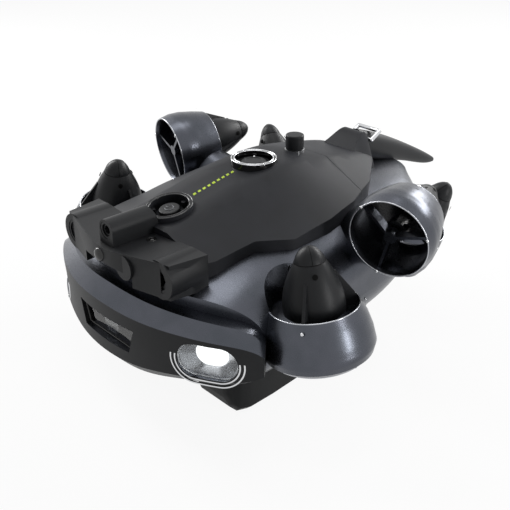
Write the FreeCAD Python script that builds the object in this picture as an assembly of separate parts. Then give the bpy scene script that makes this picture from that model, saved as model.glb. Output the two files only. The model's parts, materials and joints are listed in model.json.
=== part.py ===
import FreeCAD, Part
import math
import os

# Compact six-thruster inspection ROV. Millimetres. The nose points along -Y, +X is the
# vehicle's left side and +Z is up. The origin is on the ground, under the middle of the hull.

V = FreeCAD.Vector
X, Y, Z = V(1, 0, 0), V(0, 1, 0), V(0, 0, 1)
ORIGIN = V(0, 0, 0)

# ---------------------------------------------------------------- clearances
SEAT_GAP = 0.1           # between a piece and the seat that it drops into
RUN_GAP = 0.05           # radial, a shaft turning in its bearing
SLIDE_GAP = 0.3          # radial, a cap, plug or button sliding in its guide

# ---------------------------------------------------------------- hull
WALL = 3.0               # moulded wall of the hull shells
PART_Z = 58.0            # height of the joint between the upper and lower shells
UPPER_POWER = 2.5        # roundness of a hull section above its widest line
LOWER_POWER = 3.0        # and below it
# place along the hull, half width, top, bottom, height of the widest line
HULL_SECTIONS = [
    (-144.0, 112.0, 95.0, 34.0, 64.0),
    (-110.0, 114.0, 113.0, 22.0, 66.0),
    (-60.0, 112.0, 122.0, 14.0, 70.0),
    (0.0, 106.0, 124.0, 12.0, 76.0),
    (60.0, 101.0, 124.0, 14.0, 80.0),
    (110.0, 90.0, 122.0, 26.0, 86.0),
    (155.0, 60.0, 117.0, 52.0, 92.0),
    (188.0, 22.0, 110.0, 84.0, 98.0),
]

SHOULDER_BASE, SHOULDER_BASE_R = (62.0, 48.0, 88.0), 30.0
SHOULDER_TIP, SHOULDER_TIP_R = (112.0, 38.0, 112.0), 20.0

# ---------------------------------------------------------------- visor
VISOR_CENTRE_Y = 34.0    # the visor is bent round a vertical line through this point
VISOR_R = 193.0          # outer face
VISOR_DEPTH = 21.0       # front to back
VISOR_TOP_SETBACK = 10.0
VISOR_TOP_BEVEL = 0.18   # height of the bevel along the top, as a share of the visor's height there
VISOR_CHIN_SETBACK = 12.0
VISOR_CHIN_BEVEL = 0.20
# angle round the bend, bottom, top
VISOR_SECTIONS = [(0.0, 26.0, 96.0), (12.0, 29.0, 94.0), (22.0, 35.0, 92.0), (31.0, 38.0, 90.0), (38.0, 43.0, 86.0)]
VISOR_TIP_ANGLE = 41.5   # its pointed ends, past the last section
VISOR_TIP = (52.0, 77.0)

# ---------------------------------------------------------------- head lamps and camera
LAMP_ANGLE = 29.0        # round the visor, each side
LAMP_Z = 63.0
LAMP_LENGTH = 47.0
LAMP_HEIGHT = 28.0
LAMP_POCKET = 15.0       # depth of the pocket behind the visor's face
LAMP_GLASS = 2.0
LAMP_GLASS_SETBACK = 3.0
LAMP_BOARD = 1.6
LAMP_BOARD_SIZE = 13.0
LAMP_FLOOR_SCALE = 0.5   # the reflector's small end, as a share of its mouth
TRIM_WIRE = 1.1          # bright trim round a lamp
TRIM_PITCH = 3.4
CAM_WIDTH = 70.0
CAM_HEIGHT = 21.0
CAM_Z = 61.0
CAM_RECESS = 9.0
CAM_TAPER = 12.0         # the window narrows by this much towards its lower edge
CAM_GLASS = 2.5
CAM_BARREL_R = 9.0
CAM_BARREL_LENGTH = 26.0
CAM_LENS_R = 6.5

# ---------------------------------------------------------------- deck
COVER_WALL = 3.0
DECK_FLAT = 25.0         # half width of the flat strip along the top
# place along the deck, height of the flat strip, height at the edge
DECK_SECTIONS = [(-116.0, 133.0, 113.0), (-90.0, 139.0, 116.0), (-40.0, 149.0, 119.0), (0.0, 155.0, 122.0),
                 (30.0, 155.0, 123.0), (70.0, 149.0, 122.0), (105.0, 142.0, 119.0), (128.0, 132.0, 113.0)]
DECK_EDGE = 84.0         # half width at which the edge height holds
# outline of the deck in plan, one side
DECK_PLAN = [(62.0, -112.0), (66.0, -100.0), (67.0, -62.0), (80.0, -32.0), (79.0, 10.0), (73.0, 45.0), (60.0, 80.0),
             (40.0, 108.0), (26.0, 126.0)]
DECK_SPLIT = 62.0        # the joint between the top cover and the rear deck
DECK_SPLIT_GAP = 0.4
HUMP = [(102.0, 26.0, 138.0), (119.0, 13.0, 150.0), (127.0, 11.0, 153.0), (136.0, 10.0, 148.0)]  # y, half width, top

# ---------------------------------------------------------------- deck fittings
POWER_Y, POWER_Z, POWER_TILT = -90.5, 141.0, 10.8
PORT_Y, PORT_Z, PORT_TILT = 0.0, 157.0, 0.0
RING_R = 19.5            # outside of the two round fittings in the deck
RING_WALL = 3.6
RING_HEIGHT = 12.0
WELL_FLOOR = 3.0         # thickness of the floor of a fitting
BUTTON_R = 8.5
BUTTON_STEM_R = 3.0
BUTTON_TRAVEL = 1.5
POWER_POSTS = 3
POST_R = 2.0
PLUG_R = 10.5
PLUG_HEIGHT = 6.0
PLUG_LIFT = 12.0
TETHER_Y, TETHER_Z = 49.0, 147.0
TETHER_BASE_R = 8.5
TETHER_BASE_HEIGHT = 7.0
TETHER_SPIGOT_R = 5.0
TETHER_SPIGOT_HEIGHT = 10.0
CAP_R = 8.0
CAP_HEIGHT = 13.0
CAP_LIFT = 18.0

# ---------------------------------------------------------------- sensor bar
BAR_LENS_X, BAR_LENS_Z = 54.0, 118.0
BAR_POD_R = 15.0
BAR_FRONT_Y, BAR_BACK_Y = -143.0, -111.0
BAR_PLAN = [(69.0, -110.0), (64.0, -141.0), (40.0, -147.0), (12.0, -154.0)]
BAR_TOP_Z, BAR_LOW_Z, BAR_DIP = 132.0, 104.0, 4.0
BAR_NOSE_SLOPE = 8.0     # the front face leans back by this much at its lower edge
BAR_TUBE_R, BAR_TUBE_Z = 8.5, 140.0
BAR_TUBE_FRONT, BAR_TUBE_BACK = -149.0, -104.0
BAR_LENS_R, BAR_TUBE_LENS_R = 8.0, 5.0
BAR_LENS_DEPTH = 6.0
BEZEL_WALL = 2.0
SONAR_R, SONAR_X, SONAR_DEPTH = 12.0, 22.0, 3.0

# ---------------------------------------------------------------- tail
# place along the tail, centre height, half height, half width
TAIL_SECTIONS = [(132.0, 140.0, 13.0, 10.0), (160.0, 129.0, 14.0, 9.0), (190.0, 118.5, 11.5, 7.5),
                 (220.0, 106.5, 8.8, 6.0), (248.0, 94.5, 6.0, 4.6), (263.0, 89.0, 2.6, 2.2)]
BAIL_Y, BAIL_Z = 140.0, 143.0
BAIL_WIRE = 2.0
BAIL_PIN_R = 1.8
BAIL_WIDTH = 12.5        # half the distance between the two arms
BAIL_ARM = 13.0
BAIL_LEAN = 28.0         # of the arms above level, at rest

# ---------------------------------------------------------------- skids and inner pieces
SKID_X, SKID_HALF = 70.0, 27.0
SKID_FRONT, SKID_BACK = -110.0, 86.0
SKID_TOP = 52.0
# share of its length from the front, share of its width, height of the sole
SKID_SECTIONS = [(0.0, 0.6, 14.0), (0.012, 0.78, 6.0), (0.035, 0.92, 1.5), (0.08, 1.0, 0.0), (0.2, 1.0, 0.0),
                 (0.4, 0.92, 0.0), (0.6, 0.8, 8.0), (0.82, 0.65, 24.0), (1.0, 0.4, 44.0)]
SKID_BEVEL = (0.2, 5.0)  # bevel round the sole: share of the half width, height
BELLY_R = 30.0           # half width of the long plate under the hull
BELLY_BACK = 62.0        # centre of its rear end
BELLY_SCREW_PCD, BELLY_SCREW_R, BELLY_SCREW_DEPTH = 40.0, 2.5, 8.0
TUBE_R, TUBE_LENGTH, TUBE_Z = 34.0, 150.0, 76.0
BATTERY = (34.0, 52.0, 40.0)
BATTERY_Y = 108.0
TUBE_RIBS_Y, BATTERY_RIBS_Y = (-62.0, 38.0), (90.0, 120.0)
RIB_WIDTH, RIB_THICK = 56.0, 3.0

# ---------------------------------------------------------------- thruster, along its own axis from the guard end
# length, bore at the guard end and at the motor end, radius of the pod, outside as share of the length and radius
DUCTS = {
    "large": (41.0, 33.0, 32.0, 23.0,
                [(0.0, 36.4), (0.1, 41.5), (0.25, 43.5), (0.5, 42.0), (0.75, 39.0), (1.0, 34.2)]),
    "small": (42.0, 30.5, 26.0, 20.0, [(0.0, 32.8), (0.22, 34.4), (0.45, 33.8), (0.75, 31.0), (1.0, 28.0)]),
}
BORE_TAPER = 28.0        # the bore narrows from here to the motor end
LIP_FLARE = 1.2          # the bore opens by this much at either lip
GUARD_Z, GUARD_CHORD, FIN_THICK = 3.0, 8.0, 2.4
GUARD_HUB_R = 5.0
SHAFT_R = 2.0
HUB_R, HUB_Z, HUB_LENGTH = 9.0, 13.5, 17.0
BLADES, TIP_GAP, BLADE_ROOT_PITCH, BLADE_TIP_PITCH = 3, 1.5, 48.0, 24.0
BLADE_CHORD, BLADE_THICK = 22.0, 2.0
POD_FOOT = 33.0
POD_SEAM, POD_TIP = 75.0, 86.5
POD_NOSE_SHARE = 0.5     # radius at the seam, as a share of the pod's
BEARING_DEPTH = 14.0
FIN_FOOT, FIN_TOP = 34.0, 64.0
FINS = 3
SCREW_HEAD_R, SCREW_HEAD = 1.5, 0.8
FLOW_REACH = 60.0        # how far the water path is cut clear of the hull past each lip
FLOW_FLARE = 9.0
# guard end centre, direction towards the motor, roll of the fins, kind of duct, on the left side
THRUSTERS = {
    "front": (V(130.2, -56, 53.5), V(-0.15, -0.02, 0.988), 0.0, "large"),
    "middle": (V(133.3, 13.9, 124.8), V(-0.245, 0.961, 0.125), 0.0, "small"),
    "rear": (V(68, 110, 59), V(0.5, 0.17, 0.85), 60.0, "small"),
}


def ring(r_out, r_in, length, base=ORIGIN, axis=Z):
    """A plain tube."""
    return Part.makeCylinder(r_out, length, base, axis).cut(Part.makeCylinder(r_in, length, base, axis))


def polygon(points):
    """A flat face through the points, which close on themselves."""
    return Part.Face(Part.makePolygon(points + [points[0]]))


def lathe(profile):
    """Turn an outline of (radius, height) pairs round Z."""
    return polygon([V(r, 0, z) for r, z in profile]).revolve(ORIGIN, Z, 360)


def fuse(shapes):
    """One solid from several that touch or overlap."""
    whole = shapes[0].fuse(shapes[1:]) if len(shapes) > 1 else shapes[0]
    return whole.removeSplitter()


def mirrored(shape):
    """The same piece on the other side of the vehicle."""
    return shape.mirror(ORIGIN, X)


def tilted(base, tilt):
    """Placement of a deck fitting whose axis leans forward by tilt degrees."""
    return FreeCAD.Placement(base, FreeCAD.Rotation(X, tilt))


def save(name, shape):
    """Write one node."""
    if not shape.Solids or not shape.isValid():
        print("check", name, len(shape.Solids), shape.isValid())
    solids = shape.Solids
    kept = solids[0] if len(solids) == 1 else Part.makeCompound(solids)
    kept.exportStep("parts/" + name + ".step")
    return kept


# ---------------------------------------------------------------- hull

def hull_section(y, half, top, bottom, mid, inset):
    """A closed superellipse, blunter below its widest line than above it."""
    points = []
    steps = 20
    for i in range(steps):
        t = 2 * math.pi * i / steps
        c, s = math.cos(t), math.sin(t)
        power = UPPER_POWER if s >= 0 else LOWER_POWER
        reach = (top if s >= 0 else bottom) + (-inset if s >= 0 else inset) - mid
        x = math.copysign(abs(c) ** (2 / power), c) * (half - inset)
        points.append(V(x, y, mid + abs(s) ** (2 / power) * reach))
    curve = Part.BSplineCurve()
    curve.interpolate(points, PeriodicFlag=True)
    return Part.Wire(curve.toShape())


def hull_solid(inset):
    """Loft the hull and round its front to the bend of the visor."""
    wires = []
    for i, (y, half, top, bottom, mid) in enumerate(HULL_SECTIONS):
        shift = -inset if i == len(HULL_SECTIONS) - 1 else 0
        wires.append(hull_section(y + shift, half, top, bottom, mid, inset))
    body = Part.makeLoft(wires, True, False)
    front_r = VISOR_R - VISOR_DEPTH - inset
    height = 300.0
    nose = Part.makeCylinder(front_r, height, V(0, VISOR_CENTRE_Y, -height / 2))
    rear = Part.makeBox(2 * front_r, height, height, V(-front_r, VISOR_CENTRE_Y, -height / 2))
    return body.common(fuse([nose, rear]))


def thruster_place(name):
    base, axis, roll, kind = THRUSTERS[name]
    turn = FreeCAD.Rotation(Z, axis).multiply(FreeCAD.Rotation(Z, roll))
    return FreeCAD.Placement(base, turn)


def flow_path(kind, grow):
    """The duct's outside and the water path past both its lips."""
    reach, flare = FLOW_REACH, FLOW_FLARE
    length, guard_bore, motor_bore = DUCTS[kind][:3]
    lips = (guard_bore + LIP_FLARE, motor_bore + LIP_FLARE)
    outline = [(0, -reach), (lips[0] + flare + grow, -reach), (lips[0] + grow, -SEAT_GAP - grow)]
    outline += [(r + SEAT_GAP + grow, z) for r, z in duct_outside(kind)]
    outline += [(lips[1] + grow, length + SEAT_GAP + grow), (lips[1] + flare + grow, length + reach)]
    outline += [(0, length + reach)]
    return lathe(outline)


def duct_outside(kind):
    """Radius and height along the outside of a duct."""
    length, outline = DUCTS[kind][0], DUCTS[kind][-1]
    return [(r, share * length) for share, r in outline]


def all_flow_paths(grow):
    """The six water paths, left and right."""
    left = []
    for name in THRUSTERS:
        path = flow_path(THRUSTERS[name][3], grow)
        path.Placement = thruster_place(name)
        left.append(path)
    return left + [mirrored(path) for path in left]


def shoulder(inset):
    """The swelling of the hull that carries a middle duct, left side."""
    base, tip = V(*SHOULDER_BASE), V(*SHOULDER_TIP)
    run = tip.sub(base)
    return Part.makeCone(SHOULDER_BASE_R - inset, SHOULDER_TIP_R - inset, run.Length, base, run)


def hull_outside(inset):
    arm = shoulder(inset)
    return fuse([hull_solid(inset), arm, mirrored(arm)])


def build_hull():
    """Both shells: the lofted skin, scooped out round every duct, split at PART_Z."""
    outside, inside = hull_outside(0.0), hull_outside(WALL)
    for path in all_flow_paths(0.0):
        outside = outside.cut(path)
    for path in all_flow_paths(WALL):
        inside = inside.cut(path)
    skin = outside.cut(inside)
    skin = skin.cut(camera_bore())
    size = 600.0
    above = Part.makeBox(size, size, size, V(-size / 2, -size / 2, PART_Z))
    below = Part.makeBox(size, size, size, V(-size / 2, -size / 2, PART_Z - size))
    ribs = cradles(*inner_pieces(), inside)
    lower = fuse([largest(skin.common(below))] + ribs)
    return largest(skin.common(above)), lower


# ---------------------------------------------------------------- visor, camera and lamps

def visor_section(angle, low, high):
    """The visor's profile at one angle round its bend."""
    rise = high - low
    back = VISOR_R - VISOR_DEPTH + 2 * SEAT_GAP
    outline = [(back, low + 0.3 * rise * VISOR_CHIN_BEVEL), (back, high), (VISOR_R - VISOR_TOP_SETBACK, high),
               (VISOR_R, high - VISOR_TOP_BEVEL * rise), (VISOR_R, low + VISOR_CHIN_BEVEL * rise),
               (VISOR_R - VISOR_CHIN_SETBACK, low)]
    a = math.radians(angle)
    points = [V(r * math.sin(a), VISOR_CENTRE_Y - r * math.cos(a), z) for r, z in outline]
    return Part.makePolygon(points + [points[0]])


def visor_blank():
    half = VISOR_SECTIONS + [(VISOR_TIP_ANGLE,) + VISOR_TIP]
    stations = [(-a, low, high) for a, low, high in reversed(half[1:])] + half
    return Part.makeLoft([visor_section(*station) for station in stations], True, False)


def lamp_place():
    """Local Z out of the left lamp, local Y up, origin on the visor's face."""
    a = math.radians(LAMP_ANGLE)
    out, along = V(math.sin(a), -math.cos(a), 0), V(math.cos(a), math.sin(a), 0)
    base = V(0, VISOR_CENTRE_Y, LAMP_Z).add(out * VISOR_R)
    return FreeCAD.Placement(base, FreeCAD.Rotation(along, Z, out, "ZXY"))


def obround_wire(length, height, z):
    r, c = height / 2, (length - height) / 2
    sides = [Part.LineSegment(V(-c, r, z), V(c, r, z)), Part.Arc(V(c, r, z), V(c + r, 0, z), V(c, -r, z)),
             Part.LineSegment(V(c, -r, z), V(-c, -r, z)), Part.Arc(V(-c, -r, z), V(-c - r, 0, z), V(-c, r, z))]
    return Part.Wire([side.toShape() for side in sides])


def obround(length, height, low, high):
    return Part.Face(obround_wire(length, height, low)).extrude(V(0, 0, high - low))


def placed(shape, place):
    shape = shape.copy()
    shape.Placement = place.multiply(shape.Placement)
    return shape


def lamp_pieces():
    """Window, reflector and lit board of the left lamp, with the pocket that holds them."""
    length, height = LAMP_LENGTH - 2 * SEAT_GAP, LAMP_HEIGHT - 2 * SEAT_GAP
    glass_top = -LAMP_GLASS_SETBACK
    glass_low = glass_top - LAMP_GLASS
    board_top = -LAMP_POCKET + LAMP_BOARD
    window = obround(length, height, glass_low, glass_top)
    board = obround(length, height, -LAMP_POCKET, board_top)
    half = LAMP_BOARD_SIZE / 2
    board = board.fuse(Part.makeBox(2 * half, 2 * half, 1.0, V(-half, -half, board_top)))
    mouth = obround_wire(length - 2.4, height - 2.4, glass_low)
    floor = obround_wire(length * LAMP_FLOOR_SCALE + 2, height * LAMP_FLOOR_SCALE + 6, board_top)
    reflector = obround(length, height, board_top, glass_low).cut(Part.makeLoft([floor, mouth], True, True))
    pocket = obround(LAMP_LENGTH, LAMP_HEIGHT, -LAMP_POCKET, VISOR_DEPTH)
    place = lamp_place()
    return [placed(piece, place) for piece in (window, reflector, board, pocket)]


def lamp_trim(proud):
    """Two bright lines round the lower side of the left lamp, let into the visor's face."""
    lines = []
    for i in range(2):
        gap = TRIM_PITCH * (i + 0.6)
        outer = obround(LAMP_LENGTH + 2 * gap, LAMP_HEIGHT + 2 * gap, -VISOR_DEPTH / 2, VISOR_DEPTH / 2)
        inner_gap = gap - TRIM_WIRE
        inner = obround(LAMP_LENGTH + 2 * inner_gap, LAMP_HEIGHT + 2 * inner_gap, -VISOR_DEPTH, VISOR_DEPTH)
        lines.append(outer.cut(inner).common(Part.makeBox(LAMP_LENGTH + 3 * LAMP_HEIGHT, LAMP_HEIGHT * 2, VISOR_DEPTH,
                     V(-LAMP_LENGTH / 2 - LAMP_HEIGHT, -2 * LAMP_HEIGHT + 3.0, -VISOR_DEPTH / 2))))
    band = ring(VISOR_R + proud, VISOR_R - TRIM_WIRE, 120.0, V(0, VISOR_CENTRE_Y, 0))
    return Part.makeCompound([placed(line, lamp_place()).common(band) for line in lines])


def camera_frame(inset, depth, y):
    """The window's trapezium, narrower along its lower edge."""
    w, n, h = CAM_WIDTH / 2 - inset, CAM_WIDTH / 2 - CAM_TAPER / 2 - inset, CAM_HEIGHT / 2 - inset
    corners = [V(-w, y, CAM_Z + h), V(w, y, CAM_Z + h), V(n, y, CAM_Z - h), V(-n, y, CAM_Z - h)]
    return polygon(corners).extrude(V(0, depth, 0))


def camera_floor_y():
    return VISOR_CENTRE_Y - VISOR_R + CAM_RECESS


def camera_bore():
    return Part.makeCylinder(CAM_BARREL_R + SEAT_GAP, CAM_BARREL_LENGTH + 1, V(0, camera_floor_y(), CAM_Z), Y)


def camera_pieces():
    glass_y = camera_floor_y() - CAM_GLASS
    window = camera_frame(SEAT_GAP, CAM_GLASS, glass_y)
    barrel = ring(CAM_BARREL_R, CAM_LENS_R, CAM_BARREL_LENGTH, V(0, camera_floor_y() + SEAT_GAP, CAM_Z), Y)
    back = Part.makeCylinder(CAM_BARREL_R, 3.0, V(0, camera_floor_y() + SEAT_GAP + CAM_BARREL_LENGTH - 3, CAM_Z), Y)
    lens = Part.makeSphere(CAM_LENS_R * 1.25, V(0, camera_floor_y() + 2 + CAM_LENS_R * 1.25, CAM_Z))
    lens = lens.common(Part.makeCylinder(CAM_LENS_R - SEAT_GAP, 6.0, V(0, camera_floor_y() + 1, CAM_Z), Y))
    return window, fuse([barrel, back]), lens


def build_visor(cuts):
    """The mask: bent blank with its window recess, lamp pockets and grooves."""
    visor = visor_blank()
    recess = camera_frame(0.0, CAM_RECESS + VISOR_DEPTH, camera_floor_y() - CAM_RECESS - VISOR_DEPTH)
    for cut in cuts + [recess, camera_bore()]:
        visor = visor.cut(cut)
    return visor


# ---------------------------------------------------------------- deck

def roof(lower):
    """The deck's outer form: a flat strip with a facet falling away on each side."""
    wires = []
    for y, middle, edge in DECK_SECTIONS:
        half = [(DECK_FLAT, middle - lower), (DECK_EDGE, edge - lower), (DECK_EDGE, edge - 40.0)]
        side = [V(x, y, z) for x, z in half]
        points = side + [V(-p.x, p.y, p.z) for p in reversed(side)]
        wires.append(Part.makePolygon(points + [points[0]]))
    return Part.makeLoft(wires, True, False)


def deck_plan(inset):
    """The deck's outline in plan, straight up."""
    left = [V(x - inset, y, 80) for x, y in DECK_PLAN]
    left[0].y += inset
    left[-1].y -= inset
    return polygon(left + [V(-p.x, p.y, p.z) for p in reversed(left)]).extrude(Z * 100)


def deck_hump():
    """The hump that carries the root of the tail."""
    spread, foot = 15.0, 112.0
    wires = []
    for y, half, top in HUMP:
        points = [V(half + spread, y, foot), V(half, y, top), V(-half, y, top), V(-half - spread, y, foot)]
        wires.append(Part.makePolygon(points + [points[0]]))
    return Part.makeLoft(wires, True, False)


def build_deck(hull):
    """Top cover and rear deck: thin covers over the hull, meeting at DECK_SPLIT."""
    solid = roof(0.0).common(deck_plan(0.0))
    cavity = roof(COVER_WALL).common(deck_plan(COVER_WALL))
    size = 400.0
    ahead = Part.makeBox(size, size, size, V(-size / 2, DECK_SPLIT - size, 0))
    behind = Part.makeBox(size, size, size, V(-size / 2, DECK_SPLIT + DECK_SPLIT_GAP, 0))
    cover = solid.common(ahead).cut(cavity).cut(hull)
    rear = fuse([solid.cut(cavity).common(behind), deck_hump()]).cut(hull)
    scoops = all_flow_paths(0.0)
    for path in scoops:
        cover, rear = cover.cut(path), rear.cut(path)
    return largest(cover), largest(rear)


def largest(shape):
    """The biggest solid of a shape, without slivers that a cut left."""
    return max(shape.Solids, key=lambda solid: solid.Volume)


def ring_fitting(posts):
    """A round well that drops into the deck: wall, floor and, for the button, its posts."""
    body = ring(RING_R, RING_R - RING_WALL, RING_HEIGHT, V(0, 0, -RING_HEIGHT + 1.5))
    floor_z = -RING_HEIGHT + 1.5
    body = body.fuse(Part.makeCylinder(RING_R, WELL_FLOOR, V(0, 0, floor_z)))
    for i in range(posts):
        a = math.radians(360.0 * i / posts + 90)
        r = RING_R - RING_WALL - POST_R + 0.5
        body = body.fuse(Part.makeCylinder(POST_R, RING_HEIGHT - 4, V(r * math.cos(a), r * math.sin(a), floor_z)))
    return body.removeSplitter()


def power_pieces():
    """Bezel and button, in the bezel's own axes."""
    floor = -RING_HEIGHT + 1.5
    bezel = ring_fitting(POWER_POSTS).cut(
        Part.makeCylinder(BUTTON_STEM_R + SLIDE_GAP, RING_HEIGHT, V(0, 0, floor - 1)))
    top, low = -1.0, floor + WELL_FLOOR + BUTTON_TRAVEL + SEAT_GAP
    button = Part.makeCylinder(BUTTON_R, top - low, V(0, 0, low))
    edge = [e for e in button.Edges if abs(e.BoundBox.ZMin - top) < 0.01 and e.BoundBox.ZLength < 0.01]
    button = button.makeFillet(1.2, edge[:1])
    stem = Part.makeCylinder(BUTTON_STEM_R, RING_HEIGHT - 3, V(0, 0, floor))
    return bezel, fuse([button, stem])


def port_pieces():
    """Threaded port and its flat plug."""
    floor = -RING_HEIGHT + 1.5
    body = ring_fitting(0)
    seat = ring(PLUG_R + 3.0, PLUG_R + SLIDE_GAP, PLUG_HEIGHT - 1, V(0, 0, floor + WELL_FLOOR))
    plug = Part.makeCylinder(PLUG_R, PLUG_HEIGHT, V(0, 0, floor + WELL_FLOOR + 0.05))
    edge = [e for e in plug.Edges if abs(e.BoundBox.ZMin - plug.BoundBox.ZMax) < 0.01 and e.BoundBox.ZLength < 0.01]
    return fuse([body, seat]), plug.makeFillet(1.0, edge[:1])


def fitting_hole(place):
    return placed(Part.makeCylinder(RING_R + SEAT_GAP, 60.0, V(0, 0, -30)), place)


def tether_pieces():
    """Polished socket with its spigot, and the knurled cap over it."""
    base = V(0, TETHER_Y, TETHER_Z)
    socket = Part.makeCylinder(TETHER_BASE_R, TETHER_BASE_HEIGHT + 6, base.sub(Z * 6))
    socket = fuse([socket, Part.makeCylinder(TETHER_SPIGOT_R, TETHER_SPIGOT_HEIGHT, base.add(Z * TETHER_BASE_HEIGHT))])
    cap_low = base.add(Z * (TETHER_BASE_HEIGHT + 0.05))
    cap = Part.makeCylinder(CAP_R, CAP_HEIGHT, cap_low)
    cap = cap.makeFillet(1.2, [e for e in cap.Edges if e.BoundBox.ZMin > cap_low.z + CAP_HEIGHT - 0.01][:1])
    bore = Part.makeCylinder(TETHER_SPIGOT_R + SLIDE_GAP, TETHER_SPIGOT_HEIGHT + 0.5, cap_low)
    return socket, cap.cut(bore)


# ---------------------------------------------------------------- sensor bar

def bar_sockets():
    """Lens places: x, height, face, radius of the lens."""
    side = [(BAR_LENS_X, BAR_LENS_Z, BAR_FRONT_Y, BAR_LENS_R)]
    return side + [(-x, z, y, r) for x, z, y, r in side] + [(0.0, BAR_TUBE_Z, BAR_TUBE_FRONT, BAR_TUBE_LENS_R)]


def build_sensor_bar(cuts):
    """A gull-winged plate with a lens pod at each end and a tube along its middle."""
    left = [V(x, y, BAR_LOW_Z) for x, y in BAR_PLAN]
    plate = polygon(left + [V(-p.x, p.y, p.z) for p in reversed(left)]).extrude(Z * (BAR_TOP_Z - BAR_LOW_Z))
    front = BAR_PLAN[-1][1]
    for side in (1, -1):
        # the top of each wing falls towards the middle
        wedge = polygon([V(0, front - 1, BAR_TOP_Z - BAR_DIP), V(side * BAR_LENS_X, front - 1, BAR_TOP_Z),
                         V(side * BAR_LENS_X, front - 1, BAR_TOP_Z + 9), V(0, front - 1, BAR_TOP_Z + 9)])
        plate = plate.cut(wedge.extrude(Y * 60))
    low = polygon([V(0, front - 1, BAR_TOP_Z - 16), V(0, front + 14 + BAR_NOSE_SLOPE, BAR_LOW_Z - 1),
                   V(0, front - 1, BAR_LOW_Z - 1)])
    low.translate(V(-30, 0, 0))
    plate = plate.cut(low.extrude(X * 60))
    pods = [Part.makeCylinder(BAR_POD_R, BAR_BACK_Y - BAR_FRONT_Y, V(s * BAR_LENS_X, BAR_FRONT_Y, BAR_LENS_Z), Y)
            for s in (1, -1)]
    tube = Part.makeCylinder(BAR_TUBE_R, BAR_TUBE_BACK - BAR_TUBE_FRONT, V(0, BAR_TUBE_FRONT, BAR_TUBE_Z), Y)
    web = Part.makeBox(2 * BAR_TUBE_R, BAR_TUBE_BACK - BAR_TUBE_FRONT, BAR_TUBE_Z - BAR_TOP_Z + 10,
                       V(-BAR_TUBE_R, BAR_TUBE_FRONT, BAR_TOP_Z - 10))
    body = fuse([plate, tube, web] + pods)
    for x, z, y, r in bar_sockets():
        body = body.cut(Part.makeCylinder(r + BEZEL_WALL, BAR_LENS_DEPTH, V(x, y, z), Y))
    for cut in cuts + [sonar_puck(SEAT_GAP)]:
        body = body.cut(cut)
    return largest(body)


def sonar_puck(grow):
    """Round sounder let into the front of the bar."""
    base = V(SONAR_X, BAR_PLAN[2][1] - 4.5, BAR_TOP_Z - 13.5)
    return Part.makeCylinder(SONAR_R - 2 + grow, SONAR_DEPTH + 5.0 + grow, base, Y)


def bar_bezels():
    rings = [ring(r + BEZEL_WALL, r, BAR_LENS_DEPTH - 0.4, V(x, y + 0.4, z), Y) for x, z, y, r in bar_sockets()]
    return Part.makeCompound(rings)


def bar_lenses():
    depth = 2.0
    return Part.makeCompound([Part.makeCylinder(r, depth, V(x, y + BAR_LENS_DEPTH - depth, z), Y)
                              for x, z, y, r in bar_sockets()])


# ---------------------------------------------------------------- tail, skids, inner pieces

def build_tail(cuts):
    """The curved horn behind the hump, lofted through ellipses."""
    wires = []
    for y, z, half_height, half_width in TAIL_SECTIONS:
        major, minor = max(half_height, half_width), min(half_height, half_width)
        curve = Part.Ellipse(V(0, y, z + major), V(minor, y, z), V(0, y, z))
        wires.append(Part.Wire(curve.toShape()))
    tail = Part.makeLoft(wires, True, False)
    for cut in cuts:
        tail = tail.cut(cut)
    pin_hole = Part.makeCylinder(BAIL_PIN_R + RUN_GAP, 60, V(-30, BAIL_Y, BAIL_Z), X)
    return largest(tail.cut(pin_hole))


def build_bail():
    """Bent wire shackle whose cross pin goes through the root of the tail."""
    lean = math.radians(BAIL_LEAN)
    arm = V(0, math.cos(lean), math.sin(lean)) * BAIL_ARM
    w = BAIL_WIDTH
    pivot = V(0, BAIL_Y, BAIL_Z)
    left, right = pivot.add(X * w), pivot.add(X * -w)
    pin = Part.makeCylinder(BAIL_PIN_R, 2 * w, right, X)
    bow = [Part.makeCylinder(BAIL_WIRE, BAIL_ARM, end, arm) for end in (left, right)]
    bow.append(Part.makeCylinder(BAIL_WIRE, 2 * w, right.add(arm), X))
    knuckles = [Part.makeSphere(BAIL_WIRE, p) for p in (left.add(arm), right.add(arm), left, right)]
    return fuse([pin] + bow + knuckles)


def build_skid(cuts):
    """Rounded foot under the left side of the hull, with its sole on the ground."""
    wires = []
    length = SKID_BACK - SKID_FRONT
    for share, width, sole in SKID_SECTIONS:
        y, w = SKID_FRONT + share * length, SKID_HALF * width
        side = [V(w, y, SKID_TOP), V(w, y, sole + SKID_BEVEL[1]), V(w * (1 - SKID_BEVEL[0]), y, sole)]
        points = side + [V(-p.x, p.y, p.z) for p in reversed(side)]
        wires.append(Part.makePolygon([p.add(X * SKID_X) for p in points + [points[0]]]))
    skid = Part.makeLoft(wires, True, True)
    for cut in cuts:
        skid = skid.cut(cut)
    return largest(skid)


def belly_plate():
    """Long accessory plate with four threaded holes, flush with the skids' soles."""
    bottom = HULL_SECTIONS[3][3]
    height = bottom + 6.0
    plate = Part.makeCylinder(BELLY_R, height).fuse(Part.makeCylinder(BELLY_R, height, V(0, BELLY_BACK, 0)))
    plate = plate.fuse(Part.makeBox(2 * BELLY_R, BELLY_BACK, height, V(-BELLY_R, 0, 0))).removeSplitter()
    for i in range(4):
        a = math.radians(45 + 90 * i)
        r = BELLY_SCREW_PCD / 2
        plate = plate.cut(Part.makeCylinder(BELLY_SCREW_R, BELLY_SCREW_DEPTH, V(r * math.cos(a), r * math.sin(a), 0)))
    return plate


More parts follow.
